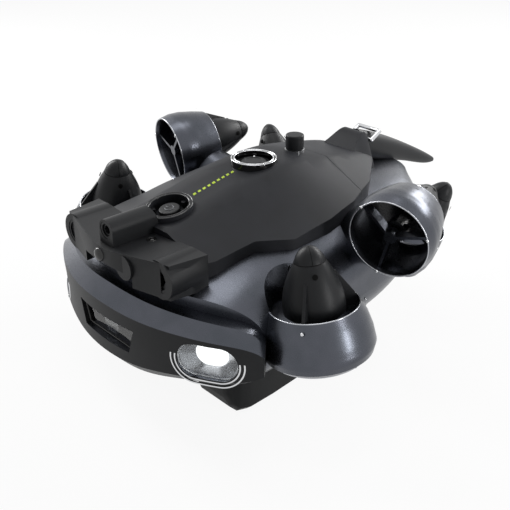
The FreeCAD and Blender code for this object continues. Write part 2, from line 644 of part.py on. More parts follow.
def cradles(tube, pack, hull_inside):
    """Ribs on the floor of the lower shell that carry the electronics tube and the battery."""
    ribs = []
    reach = 200.0
    for piece, stations in ((tube, TUBE_RIBS_Y), (pack, BATTERY_RIBS_Y)):
        low = piece.BoundBox.ZMin
        for y in stations:
            rib = Part.makeBox(RIB_WIDTH, RIB_THICK, PART_Z - 1.0, V(-RIB_WIDTH / 2, y, 0))
            seat = placed(piece, FreeCAD.Placement(V(0, 0, -SEAT_GAP), FreeCAD.Rotation()))
            above = Part.makeBox(reach, reach, reach, V(-reach / 2, y - reach / 2, low + 14.0))
            ribs.append(rib.common(hull_inside).cut(seat).cut(above))
    return ribs


def inner_pieces():
    tube = Part.makeCylinder(TUBE_R, TUBE_LENGTH, V(0, -TUBE_LENGTH / 2 - 10, TUBE_Z), Y)
    w, d, h = BATTERY
    pack = Part.makeBox(w, d, h, V(-w / 2, BATTERY_Y - d / 2, TUBE_Z - h / 2))
    pack = pack.makeFillet(6.0, [e for e in pack.Edges if e.BoundBox.YLength > d - 1])
    return tube, pack


# ---------------------------------------------------------------- thruster

def build_duct(kind):
    """Shroud: a turned ring, fuller at its middle, with a three-armed guard and its hub across one end."""
    length, bore, motor_bore = DUCTS[kind][:3]
    inside = [(motor_bore + LIP_FLARE, length), (motor_bore, length - 4), (bore, BORE_TAPER), (bore, 4.0),
              (bore + LIP_FLARE, 0.0)]
    shell = lathe(duct_outside(kind) + inside)
    arms = [Part.makeCylinder(GUARD_HUB_R, GUARD_CHORD, V(0, 0, GUARD_Z))]
    for i in range(FINS):
        arm = Part.makeBox(bore + 1.0, FIN_THICK, GUARD_CHORD, V(0, -FIN_THICK / 2, GUARD_Z))
        arm.rotate(ORIGIN, Z, 360.0 * i / FINS)
        arms.append(arm)
    bearing = Part.makeCylinder(SHAFT_R + RUN_GAP, GUARD_CHORD, V(0, 0, GUARD_Z + 2.5))
    return fuse([shell] + arms).cut(bearing)


def pod_profile(r):
    """Radius and height up a motor pod of radius r: blunt foot, ogive body."""
    return [(0, POD_FOOT), (r - 3, POD_FOOT), (r, POD_FOOT + 3), (r, POD_FOOT + 12),
            (r * 0.91, POD_FOOT + 22), (r * 0.72, POD_FOOT + 33), (r * POD_NOSE_SHARE, POD_SEAM)]


def build_pod(duct, kind):
    """Motor housing with its three swept fins, which end on the duct's bore."""
    length, _, motor_bore, pod_r, _ = DUCTS[kind]
    points = [V(r, 0, z) for r, z in pod_profile(pod_r)]
    foot, flat, corner, seam = points[0], points[1], points[2], points[-1]
    body_curve = Part.BSplineCurve()
    body_curve.interpolate(points[2:])
    edges = [Part.makeLine(foot, flat), Part.makeLine(flat, corner), body_curve.toShape(),
             Part.makeLine(seam, V(0, 0, POD_SEAM)), Part.makeLine(V(0, 0, POD_SEAM), foot)]
    pieces = [Part.Face(Part.Wire(edges)).revolve(ORIGIN, Z, 360)]
    reach = motor_bore + LIP_FLARE + 0.3
    outline = [V(2, 0, FIN_FOOT), V(reach, 0, FIN_FOOT), V(reach, 0, length), V(pod_r * 0.8, 0, FIN_TOP),
               V(2, 0, FIN_TOP)]
    for i in range(FINS):
        fin = polygon(outline).extrude(Y * FIN_THICK)
        fin.translate(Y * (-FIN_THICK / 2))
        fin.rotate(ORIGIN, Z, 360.0 * i / FINS + 60)
        pieces.append(fin)
    pod = fuse(pieces)
    pod = pod.cut(Part.makeCylinder(SHAFT_R + RUN_GAP, BEARING_DEPTH, V(0, 0, POD_FOOT)))
    return pod.cut(duct)


def build_nose(kind):
    """Turned cap on the end of a motor pod."""
    height = POD_TIP - POD_SEAM
    foot_r = DUCTS[kind][3] * POD_NOSE_SHARE
    curve = Part.BSplineCurve()
    curve.interpolate([V(foot_r * share, 0, POD_SEAM + height * up)
                       for share, up in ((1.0, 0.0), (0.72, 0.55), (0.35, 0.88), (0.0, 1.0))])
    edges = [curve.toShape(), Part.makeLine(V(0, 0, POD_TIP), V(0, 0, POD_SEAM)),
             Part.makeLine(V(0, 0, POD_SEAM), V(foot_r, 0, POD_SEAM))]
    return Part.Face(Part.Wire(edges)).revolve(ORIGIN, Z, 360)


def blade_section(radius, pitch, chord, thick):
    """A lens-shaped section at one radius, twisted to its pitch; local X runs out along the blade."""
    a = math.radians(pitch)
    along, across = V(0, math.cos(a), math.sin(a)), V(0, -math.sin(a), math.cos(a))
    centre = V(radius, 0, HUB_Z + HUB_LENGTH / 2)
    lead, trail = centre.add(along * (chord / 2)), centre.sub(along * (chord / 2))
    upper, lower = centre.add(across * (thick * 0.7)), centre.sub(across * (thick * 0.3))
    return Part.Wire([Part.Arc(lead, upper, trail).toShape(), Part.Arc(trail, lower, lead).toShape()])


def build_propeller(kind):
    """Hub, shaft and three twisted blades, one solid."""
    hub = Part.makeCylinder(HUB_R, HUB_LENGTH, V(0, 0, HUB_Z))
    shaft_low = GUARD_Z + 3.0
    shaft = Part.makeCylinder(SHAFT_R, POD_FOOT + BEARING_DEPTH - 1.0 - shaft_low, V(0, 0, shaft_low))
    pieces = [hub, shaft]
    tip_r = DUCTS[kind][1] - TIP_GAP
    for i in range(BLADES):
        stations = ((HUB_R - 2.5, 1.0, 0.7), (HUB_R + 6, 0.75, 0.95), (tip_r - 6, 0.3, 1.15), (tip_r, 0.0, 0.8))
        wires = []
        for radius, share, chord in stations:
            pitch = BLADE_TIP_PITCH + share * (BLADE_ROOT_PITCH - BLADE_TIP_PITCH)
            wires.append(blade_section(radius, pitch, BLADE_CHORD * chord, BLADE_THICK))
        blade = Part.makeLoft(wires, True, False)
        blade.rotate(ORIGIN, Z, 360.0 * i / BLADES)
        pieces.append(blade)
    tips = ring(tip_r + 10, tip_r + 0.3, 60)
    return fuse(pieces).cut(tips)


def build_thrusters():
    """Write the pieces of all six thrusters."""
    for name in THRUSTERS:
        kind = THRUSTERS[name][3]
        nose = build_nose(kind)
        duct, propeller = build_duct(kind), build_propeller(kind)
        pod = build_pod(duct, kind)
        place = thruster_place(name)
        for piece, shape in (("duct", duct), ("motor_pod", pod), ("pod_nose", nose), ("propeller", propeller)):
            left = placed(shape, place)
            save(piece + "_" + name + "_left", left)
            save(piece + "_" + name + "_right", mirrored(left))


def main():
    os.makedirs("parts", exist_ok=True)
    build_thrusters()

    upper, lower = build_hull()
    hull = hull_outside(-SEAT_GAP)
    plate = belly_plate()
    save("hull_upper", upper)
    save("hull_lower", lower)
    save("accessory_plate", plate.cut(hull))
    visor_outline = visor_blank()
    skid = build_skid([hull, visor_outline] + all_flow_paths(0.0))
    save("skid_left", skid)
    save("skid_right", mirrored(skid))

    window, reflector, board, pocket = lamp_pieces()
    for name, piece in (("lamp_window", window), ("lamp_reflector", reflector), ("lamp_board", board),
                        ("lamp_trim", lamp_trim(0.3))):
        save(name + "_left", piece)
        save(name + "_right", mirrored(piece))
    groove = lamp_trim(1.0)
    visor = build_visor([pocket, mirrored(pocket), groove, mirrored(groove)] + all_flow_paths(0.0))
    save("visor", largest(visor.cut(hull)))
    glass, barrel, lens = camera_pieces()
    save("camera_window", glass)
    save("camera_barrel", barrel)
    save("camera_lens", lens)

    cover, rear = build_deck(hull)
    power_place = tilted(V(0, POWER_Y, POWER_Z), POWER_TILT)
    port_place = tilted(V(0, PORT_Y, PORT_Z), PORT_TILT)
    cover = cover.cut(fitting_hole(power_place)).cut(fitting_hole(port_place))
    bezel, button = power_pieces()
    ring_body, plug = port_pieces()
    save("power_bezel", placed(bezel, power_place))
    save("power_button", placed(button, power_place))
    save("port_ring", placed(ring_body, port_place))
    save("port_plug", placed(plug, port_place))
    socket, cap = tether_pieces()
    save("tether_socket", socket)
    save("tether_cap", cap)
    cover = largest(cover.cut(socket))

    bezels, lenses = bar_bezels(), bar_lenses()
    bar = build_sensor_bar([hull, cover, placed(Part.makeCylinder(RING_R + SEAT_GAP, 60, V(0, 0, -30)), power_place)])
    save("sensor_bar", bar)
    save("bar_bezels", bezels)
    save("bar_lenses", lenses)
    save("sonar_puck", sonar_puck(0.0).cut(hull))
    save("top_cover", cover)

    save("rear_deck", rear)
    save("tail_fin", build_tail([hull, rear]))
    save("tail_shackle", build_bail())
    tube, pack = inner_pieces()
    save("electronics_tube", tube)
    save("battery_pack", pack)


main()
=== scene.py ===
"""Looks of a compact six-thruster underwater inspection vehicle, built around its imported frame."""
import json
import math

import bmesh
import bpy
import numpy as np
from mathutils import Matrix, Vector
from mathutils.bvhtree import BVHTree


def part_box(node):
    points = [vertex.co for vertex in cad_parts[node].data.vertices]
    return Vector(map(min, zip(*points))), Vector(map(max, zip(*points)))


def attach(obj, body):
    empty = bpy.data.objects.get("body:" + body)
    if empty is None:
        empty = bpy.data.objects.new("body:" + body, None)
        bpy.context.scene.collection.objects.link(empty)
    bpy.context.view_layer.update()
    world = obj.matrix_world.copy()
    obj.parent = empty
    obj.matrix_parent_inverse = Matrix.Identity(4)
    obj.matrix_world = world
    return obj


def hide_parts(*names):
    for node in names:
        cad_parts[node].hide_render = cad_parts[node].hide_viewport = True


bl_info = {
    "name": "Inspection Vehicle Looks",
    "version": (1, 0, 0),
    "blender": (4, 5, 0),
    "location": "View3D > Sidebar > Vehicle",
    "description": "Finishes, trim and stage for an underwater inspection vehicle",
    "category": "Object",
}

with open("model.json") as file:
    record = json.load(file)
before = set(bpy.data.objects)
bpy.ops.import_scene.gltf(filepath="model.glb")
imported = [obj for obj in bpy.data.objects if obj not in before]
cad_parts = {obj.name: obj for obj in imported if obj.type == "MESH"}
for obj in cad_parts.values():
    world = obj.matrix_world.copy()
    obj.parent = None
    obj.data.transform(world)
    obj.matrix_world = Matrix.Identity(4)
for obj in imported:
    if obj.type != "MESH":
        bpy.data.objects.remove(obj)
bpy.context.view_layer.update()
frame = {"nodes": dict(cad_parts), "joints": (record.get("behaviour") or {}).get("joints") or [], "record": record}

MM = 0.001
AIM = (0.0, 0.0, 0.08)
# Each softbox: name, place, width, height and the setting that holds its power.
SOFTBOXES = (
    ("overhead", (-0.2, 0.15, 1.5), 0.7, 0.5, "key"),
    ("right_flank", (-1.3, -0.08, 0.85), 0.42, 1.1, "side"),
    ("stern", (0.15, 1.4, 0.8), 1.1, 0.36, "side"),
    ("left_flank", (1.5, 0.3, 0.3), 0.2, 0.8, "low"),
)
SENSOR_MM = 36.0
FLOOR_HALF = 40.0
FLOOR_GLOW = 0.92
DOWN, AFT = (0, 0, -1), (0, 1, 0)
SIDES = (("left", 1.0), ("right", -1.0))
PLACES = ("front", "middle", "rear")


# ---------------------------------------------------------------- colours and nodes

def srgb(hex_text):
    """An sRGB hex colour as linear RGBA."""
    values = [int(hex_text[i:i + 2], 16) / 255 for i in (1, 3, 5)]
    linear = [v / 12.92 if v <= 0.04045 else ((v + 0.055) / 1.055) ** 2.4 for v in values]
    return (*linear, 1.0)


def add_node(tree, kind, links=(), **settings):
    """Add a node; settings name properties or input sockets, links are (input, output socket) pairs."""
    node = tree.nodes.new(kind)
    for name, value in settings.items():
        if hasattr(node, name):
            setattr(node, name, value)
    for name, value in settings.get("sockets", {}).items():
        node.inputs[name].default_value = value
    for name, socket in links:
        tree.links.new(socket, node.inputs[name])
    return node


def new_material(name):
    """An empty node material with its output; returns material and tree."""
    material = bpy.data.materials.new(name)
    material.use_nodes = True
    material.node_tree.nodes.clear()
    return material, material.node_tree


def surface(tree, sockets, links=()):
    """Principled shader wired to the output."""
    shader = add_node(tree, "ShaderNodeBsdfPrincipled", links, sockets=sockets)
    output = add_node(tree, "ShaderNodeOutputMaterial")
    tree.links.new(shader.outputs["BSDF"], output.inputs["Surface"])
    return shader


def grain(tree, size_mm, detail=2.0):
    """Noise in object space whose cells are about size_mm across."""
    place = add_node(tree, "ShaderNodeTexCoord")
    return add_node(tree, "ShaderNodeTexNoise", [("Vector", place.outputs["Object"])],
                    sockets={"Scale": 1000.0 / size_mm, "Detail": detail, "Roughness": 0.55})


def spread(tree, socket, low, high, start=0.35, stop=0.65):
    """Map a pattern from start..stop to low..high."""
    return add_node(tree, "ShaderNodeMapRange", [("Value", socket)],
                    sockets={"From Min": start, "From Max": stop, "To Min": low, "To Max": high})


def tint(tree, socket, dark, light, start=0.3, stop=0.7):
    """Map a pattern to a run between two colours."""
    ramp = add_node(tree, "ShaderNodeValToRGB", [("Fac", socket)])
    ramp.color_ramp.elements[0].position, ramp.color_ramp.elements[0].color = start, srgb(dark)
    ramp.color_ramp.elements[1].position, ramp.color_ramp.elements[1].color = stop, srgb(light)
    return ramp


def bump(tree, socket, depth_mm, strength=1.0):
    """Relief of depth_mm from a pattern."""
    return add_node(tree, "ShaderNodeBump", [("Height", socket)],
                    sockets={"Distance": depth_mm * MM, "Strength": strength})


def moulded(name, dark, light, rough, grain_mm, depth_mm, specular=0.5, metallic=0.0):
    """A moulded, painted or turned solid finish: uneven tone, uneven gloss and a fine relief."""
    material, tree = new_material(name)
    cloud, fine = grain(tree, 22.0), grain(tree, grain_mm)
    colour = tint(tree, cloud.outputs["Fac"], dark, light)
    gloss = spread(tree, fine.outputs["Fac"], rough - 0.035, rough + 0.035)
    relief = bump(tree, fine.outputs["Fac"], depth_mm)
    surface(tree, {"Metallic": metallic, "Specular IOR Level": specular},
            [("Base Color", colour.outputs["Color"]), ("Roughness", gloss.outputs["Result"]),
             ("Normal", relief.outputs["Normal"])])
    return material


def looked_at(tree):
    """1 for a ray from the eye, in a mirror or through glass, else 0."""
    path = add_node(tree, "ShaderNodeLightPath")
    straight = add_node(tree, "ShaderNodeMath", operation="MAXIMUM")
    tree.links.new(path.outputs["Is Camera Ray"], straight.inputs[0])
    tree.links.new(path.outputs["Is Glossy Ray"], straight.inputs[1])
    either = add_node(tree, "ShaderNodeMath", [(0, straight.outputs[0])], operation="MAXIMUM")
    tree.links.new(path.outputs["Is Transmission Ray"], either.inputs[1])
    return either.outputs[0]


def hull_paint():
    """Two-part metallic enamel on polycarbonate, sprayed: dark grey flake under a satin clear coat."""
    return moulded("metallic_enamel", "#4b4e54", "#53555c", 0.3, 0.7, 0.004, metallic=1.0)


def cover_plastic():
    """PC-ABS, moulded in a lightly spark-eroded tool: matte charcoal with a low sheen."""
    return moulded("spark_textured_pc_abs", "#202124", "#242529", 0.5, 0.5, 0.012, specular=0.14)


def black_plastic():
    """Glass-filled nylon, moulded: dull black with fine even grain."""
    return moulded("glass_filled_nylon", "#18191b", "#1c1d1f", 0.44, 0.5, 0.010, specular=0.2)


def foot_plastic():
    """Polypropylene, moulded: dull black."""
    return moulded("moulded_polypropylene", "#121314", "#161718", 0.5, 0.6, 0.012, specular=0.14)


def propeller_plastic():
    """Acetal, moulded smooth: semi-gloss black."""
    return moulded("moulded_acetal", "#141517", "#18191b", 0.28, 1.5, 0.003, specular=0.3)


def gloss_plastic():
    """ABS from a polished tool: piano black."""
    return moulded("polished_abs", "#0c0c0d", "#101011", 0.08, 4.0, 0.001)


def polished_steel():
    """Stainless steel bar, turned and polished."""
    return moulded("polished_stainless", "#c9cacc", "#d6d7d9", 0.10, 1.2, 0.001, metallic=1.0)


def reflector_metal():
    """Vacuum-metallised ABS reflector, satin."""
    return moulded("metallised_abs", "#8b8c90", "#97989c", 0.26, 1.0, 0.002, metallic=1.0)


def lamp_phosphor():
    """Lit white diode board under its phosphor."""
    material, tree = new_material("lit_phosphor")
    cloud = grain(tree, 3.0)
    colour = tint(tree, cloud.outputs["Fac"], "#f4f4f1", "#ffffff")
    surface(tree, {"Roughness": 0.5, "Emission Strength": 1.4},
            [("Base Color", colour.outputs["Color"]), ("Emission Color", colour.outputs["Color"])])
    return material


def clear_polycarbonate():
    """Clear polycarbonate window, hard-coated: see-through with a crisp reflection."""
    material, tree = new_material("clear_polycarbonate")
    surface(tree, {"Base Color": srgb("#f2f5f6"), "Roughness": 0.03, "IOR": 1.52,
                   "Transmission Weight": 1.0})
    return material


def coated_lens():
    """Optical glass with an anti-reflection coat over a black barrel."""
    material, tree = new_material("coated_optical_glass")
    cloud = grain(tree, 9.0)
    colour = tint(tree, cloud.outputs["Fac"], "#050507", "#0b0a12")
    surface(tree, {"Roughness": 0.05, "IOR": 1.6, "Coat Weight": 0.5},
            [("Base Color", colour.outputs["Color"])])
    return material


def painted_highlight_edge():
    """Painted highlight: bright metal on the lip beads, standing for the light each rounded duct lip catches."""
    return moulded("turned_aluminium_lip", "#a4a6ab", "#b4b6bb", 0.22, 0.8, 0.002, metallic=1.0)


def seam_shadow():
    """Painted shade: soot black with no sheen, for unlit gaps between mouldings and for dark holes and hollows."""
    return moulded("joint_gap", "#060606", "#080808", 0.8, 1.0, 0.001, specular=0.1)


def lime_ink():
    """Pad-printed lime ink, slightly glossy."""
    return moulded("pad_printed_lime_ink", "#b9d51c", "#c4df28", 0.4, 0.6, 0.003)


def pale_ink():
    """Pad-printed grey ink on the button."""
    return moulded("pad_printed_grey_ink", "#62646a", "#6a6c72", 0.45, 0.6, 0.003)


FINISHES = {
    "hull_paint": hull_paint, "cover_black": cover_plastic, "matte_black": black_plastic,
    "foot_black": foot_plastic, "propeller_black": propeller_plastic, "gloss_black": gloss_plastic,
    "polished_steel": polished_steel, "reflector": reflector_metal, "lamp_white": lamp_phosphor,
    "clear_glass": clear_polycarbonate, "dark_glass": coated_lens,
    "tube_aluminium": polished_steel, "battery_wrap": foot_plastic,
}
_made = {}


def finish(slot):
    """The material of a slot, made once."""
    maker = FINISHES[slot]
    if maker not in _made:
        _made[maker] = maker()
    return _made[maker]


def look_of(node):
    """The finish of a node's slot, but gloss black for the port ring; its bright edges are painted highlights,
    polished steel beads added by the rings operator.
    """
    return finish("gloss_black" if node == "port_ring" else slot_of(node))


def slot_of(node):
    """The material slot that the frame's record gives a CAD node."""
    return next(row["material_slot"] for row in frame["record"]["subparts"] if row["node"] == node)


def body_of(node):
    """The body that a CAD node belongs to."""
    bodies = frame["record"]["behaviour"]["bodies"]
    return next(name for name, nodes in bodies.items() if node in nodes)


def dress(node):
    """Put the node's finish on the CAD object."""
    item = frame["nodes"][node]
    item.data.materials.clear()
    item.data.materials.append(look_of(node))


def brow(mesh, rise=0.3):
    """Hull paint on the faces of the visor that slope up and back, which carry on the hull's own skin."""
    mesh.materials.append(finish("hull_paint"))
    normals = np.empty(len(mesh.polygons) * 3)
    mesh.polygons.foreach_get("normal", normals)
    mesh.polygons.foreach_set("material_index", (normals[2::3] > rise).astype(np.int32))


def smoothed(node, angle_deg=32.0):
    """A welded copy of a CAD node, smooth except over its real edges, which stands for the node."""
    source = frame["nodes"][node]
    mesh = source.data.copy()
    tidy(mesh, angle_deg)
    if mesh.has_custom_normals:
        mesh.attributes.remove(mesh.attributes["custom_normal"])
    piece = bpy.data.objects.new(node + "_skin", mesh)
    bpy.context.collection.objects.link(piece)
    mesh.materials.clear()
    mesh.materials.append(look_of(node))
    if node == "visor":
        brow(mesh)
    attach(piece, body_of(node))
    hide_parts(node)
    return piece


# ---------------------------------------------------------------- surfaces

def weave(points, wrap_rows=False, wrap_columns=False):
    """Vertices and quads of a grid of points; a wrapped direction closes on itself."""
    rows, columns = points.shape[:2]
    number = np.arange(rows * columns).reshape(rows, columns)
    if wrap_rows:
        number = np.vstack([number, number[:1]])
    if wrap_columns:
        number = np.hstack([number, number[:, :1]])
    quads = np.stack([number[:-1, :-1], number[1:, :-1], number[1:, 1:], number[:-1, 1:]], axis=-1)
    return points.reshape(-1, 3), quads.reshape(-1, 4)


def turned(profile, place, steps=48, closed=False):
    """A profile of (r, z) pairs turned round the local Z axis: (r cos t, r sin t, z)."""
    r, z = np.asarray(profile, float).T
    t = np.linspace(0, 2 * np.pi, steps, endpoint=False)[:, None]
    local = np.stack([r * np.cos(t), r * np.sin(t), z + 0 * t], axis=-1)
    return weave(moved(local, place), True, closed)


def bead(radius, height, thick, place, steps=96):
    """A ring with a round section: (radius + thick cos u, height + thick sin u), turned."""
    u = np.linspace(0, 2 * np.pi, 10, endpoint=False)
    section = np.stack([radius + thick * np.cos(u), height + thick * np.sin(u)], axis=-1)
    return turned(section, place, steps, True)


def dome(radius, height, place, steps=20):
    """A shallow cap over the local origin: (radius cos u, height sin u), turned and closed below."""
    u = np.linspace(0, np.pi / 2, 6)
    profile = np.vstack([[0.0, -0.2 * height], np.stack([radius * np.cos(u), height * np.sin(u)], axis=-1)])
    return turned(profile, place, steps)


def rod(path, thick, closed=False):
    """A round section carried along a path, square to its run: p + thick (cos u side + sin u over)."""
    path = np.asarray(path, float)
    ahead = np.roll(path, -1, axis=0) - np.roll(path, 1, axis=0) if closed else np.gradient(path, axis=0)
    ahead /= np.linalg.norm(ahead, axis=1)[:, None]
    up = np.array([0.0, 0.0, 1.0]) if abs(ahead[:, 2]).max() < 0.95 else np.array([0.0, 1.0, 0.0])
    side = np.cross(ahead, up)
    side /= np.linalg.norm(side, axis=1)[:, None]
    over = np.cross(side, ahead)
    u = np.linspace(0, 2 * np.pi, 10, endpoint=False)[:, None]
    points = path[:, None] + thick * (np.cos(u) * side[:, None] + np.sin(u) * over[:, None])
    if not closed:
        first, last = np.repeat(path[:1, None], len(u), 1), np.repeat(path[-1:, None], len(u), 1)
        points = np.concatenate([first, points, last])
    return weave(points, closed, True)


def slab(outline, thick):
    """A flat outline with a thickness: centre, rim and raised rim woven in rows."""
    centre, lift = outline.mean(axis=0), np.array([0.0, 0.0, thick])
    low = np.repeat(centre[None], len(outline), 0)
    return weave(np.stack([low - lift, outline - lift, outline + lift, low + lift]), False, True)


def six_sided(outer, flat, deep, place, steps=72):
    """A round washer with a six-sided hole: the hole's radius is flat / cos(t mod 60 - 30 degrees)."""
    t = np.linspace(0, 2 * np.pi, steps, endpoint=False)
    hole = flat / np.cos(np.mod(t, np.pi / 3) - np.pi / 6)
    round_edge = np.full(steps, outer)
    rows = [(round_edge, 0.0), (round_edge, deep), (hole, deep), (hole, 0.0)]
    local = np.stack([np.stack([r * np.cos(t), r * np.sin(t), np.full(steps, z)], axis=-1)
                      for r, z in rows])
    return weave(moved(local, place), True, True)


def ring_point(radius, angle, height):
    """A point on a circle about the local Z axis."""
    return radius * math.cos(angle), radius * math.sin(angle), height


def moved(points, place):
    """Local points to the vehicle's axes through a 4 x 4 place."""
    return points @ place[:3, :3].T + place[:3, 3]


def made(name, surfaces, body, slot, material=None, sharp_deg=40.0):
    """One object from several surfaces: doubles merged, faces outwards, smooth but for sharp edges."""
    starts = np.cumsum([0] + [len(v) for v, _ in surfaces[:-1]])
    mesh = bpy.data.meshes.new(name)
    mesh.from_pydata(np.vstack([v for v, _ in surfaces]).tolist(), [],
                     np.vstack([f + start for (_, f), start in zip(surfaces, starts)]).tolist())
    tidy(mesh, sharp_deg, turn_out=True)
    piece = bpy.data.objects.new(name, mesh)
    bpy.context.collection.objects.link(piece)
    mesh.materials.append(material or finish(slot))
    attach(piece, body)
    return piece


def tidy(mesh, sharp_deg, turn_out=False):
    """Merge doubles, drop collapsed faces and shade smooth except over edges past sharp_deg."""
    work = bmesh.new()
    work.from_mesh(mesh)
    bmesh.ops.remove_doubles(work, verts=work.verts, dist=1e-6)
    bmesh.ops.dissolve_degenerate(work, dist=1e-7, edges=work.edges)
    if turn_out:
        bmesh.ops.recalc_face_normals(work, faces=work.faces)
    limit = math.radians(sharp_deg)
    for edge in work.edges:
        edge.smooth = len(edge.link_faces) == 2 and edge.calc_face_angle(0.0) < limit
    for face in work.faces:
        face.smooth = True
    work.to_mesh(mesh)
    work.free()


# ---------------------------------------------------------------- places read from the frame

def corners(node):
    """All vertices of a CAD node as an array."""
    data = frame["nodes"][node].data
    flat = np.empty(len(data.vertices) * 3)
    data.vertices.foreach_get("co", flat)
    return flat.reshape(-1, 3)


def joint(name):
    """The frame's row of a joint."""
    return next(row for row in frame["joints"] if row["name"] == name)


def upright(axis):
    """Rotation that takes the Z axis to the given axis by the shortest way."""
    turn = Vector((0, 0, 1)).rotation_difference(Vector(axis))
    return np.array(turn.to_matrix())


def place_at(base, rotation):
    """A 4 x 4 place from a point and a rotation."""
    place = np.eye(4)
    place[:3, :3], place[:3, 3] = rotation, base
    return place


def thruster_place(where, sign, roll_deg):
    """A thruster's own axes: Z from the guard end towards the motor, X along the first guard arm."""
    row = joint("propeller_" + where + "_left_spin")
    place = place_at(row["pos_m"], upright(row["axis"]))
    a = math.radians(roll_deg)
    roll = np.eye(4)
    roll[:2, :2] = [[math.cos(a), -math.sin(a)], [math.sin(a), math.cos(a)]]
    return np.diag([sign, 1, 1, 1]) @ place @ roll


def thrusters(context):
    """Every thruster as place name, side and axes."""
    roll = context.scene.vehicle_trim.roll
    return [(where, side, thruster_place(where, sign, roll[i]))
            for i, where in enumerate(PLACES) for side, sign in SIDES]


def within(node, place):
    """A node's vertices in local cylinder terms: radius and height."""
    local = (corners(node) - place[:3, 3]) @ place[:3, :3]
    return np.hypot(local[:, 0], local[:, 1]), local[:, 2]


def radius_near(node, place, height, reach=1.2 * MM):
    """Smallest and largest radius of a node's vertices within reach of a height."""
    r, z = within(node, place)
    near = r[np.abs(z - height) < reach]
    return near.min(), near.max()


def touch(node, start, way):
    """Point and outward direction where a straight line first meets a CAD piece."""
    work = bmesh.new()
    work.from_mesh(frame["nodes"][node].data)
    spot, normal = BVHTree.FromBMesh(work).ray_cast(start, way)[:2]
    work.free()
    return np.array(spot), np.array(normal)


def tops(node, axis):
    """Middle of a node's top face along an axis, and the axis as a rotation."""
    points = corners(node)
    run = points @ np.asarray(axis)
    face = points[run > run.max() - 0.05 * MM]
    low, high = face.min(axis=0), face.max(axis=0)
    return place_at((low + high) / 2, upright(axis))


def button_top():
    """Middle of the power button's top, which faces against its press."""
    return tops("power_button", -np.array(joint("power_button_press")["axis"]))


# ---------------------------------------------------------------- settings

class StageSettings(bpy.types.PropertyGroup):
    """Camera and light."""
    azimuth: bpy.props.FloatProperty(name="Azimuth", description="Camera bearing, degrees", default=46.6)
    elevation: bpy.props.FloatProperty(name="Elevation", description="Camera height, degrees", default=27.5)
    distance: bpy.props.FloatProperty(name="Distance", description="Camera to target", default=0.7517,
                                      unit="LENGTH")
    target: bpy.props.FloatVectorProperty(name="Target", description="Point in the middle of the view",
                                          default=(-0.0259, 0.0259, 0.0474), subtype="XYZ", unit="LENGTH")
    lens: bpy.props.FloatProperty(name="Lens", description="Focal length, mm", default=56.5)
    key: bpy.props.FloatProperty(name="Key", description="Power of the overhead softbox, W", default=4.0)
    side: bpy.props.FloatProperty(name="Side", description="Power of the tall softboxes, W", default=18.0)
    low: bpy.props.FloatProperty(name="Low", description="Power of the narrow softbox, W", default=10.0)
    fill: bpy.props.FloatProperty(name="Fill", description="Strength of the room's own light", default=0.12)


def length(name, text, default):
    """A length property in metres."""
    return bpy.props.FloatProperty(name=name, description=text, default=default, unit="LENGTH", precision=4)


class TrimSettings(bpy.types.PropertyGroup):
    """Sizes of the small trim."""
    screw_radius: length("Screw radius", "Radius of a small screw head", 0.0013)
    screw_height: length("Screw height", "Height of a small screw head", 0.0008)
    screw_inset: length("Screw inset", "From a duct's motor end to the screws outside its fins", 0.005)
    port_screws: length("Port screws", "Radius of the circle of screws round the plug", 0.0132)
    seam: length("Seam", "Half width of a joint line", 0.0003)
    drain_radius: length("Drain radius", "Radius of a drain hole in a pod", 0.0021)
    drain_drop: length("Drain drop", "From the joint line to the drain holes", 0.0065)
    drain_turn: bpy.props.FloatProperty(name="Drain turn", default=-35.0,
                                        description="Bearing of the first drain hole, degrees")
    roll: bpy.props.FloatVectorProperty(name="Roll", default=(0.0, 0.0, 60.0),
                                        description="Roll of the guards, front to rear, degrees")
    mark_radius: length("Mark radius", "Radius of the open ring on the button", 0.0034)
    mark_stroke: length("Mark stroke", "Half width of its stroke", 0.0004)
    edge: length("Fitting edge", "Radius of the turned edges of the deck fittings", 0.0006)
    dashes: bpy.props.IntProperty(name="Dashes", description="Number of lime dashes", default=9)
    dash_length: length("Dash length", "Length of a dash", 0.0036)
    dash_width: length("Dash width", "Width of a dash", 0.0026)
    dash_margin: length("Dash margin", "Clear deck at either end of the row", 0.003)
    wing_screw: bpy.props.FloatVectorProperty(name="Wing screw", description="Its place in plan", size=2,
                                              default=(0.0173, -0.121), unit="LENGTH")
    nose_dome: bpy.props.FloatVectorProperty(name="Nose dome", size=2, default=(-0.004, 0.1205),
                                             description="Its place across and up", unit="LENGTH")


# ---------------------------------------------------------------- operators

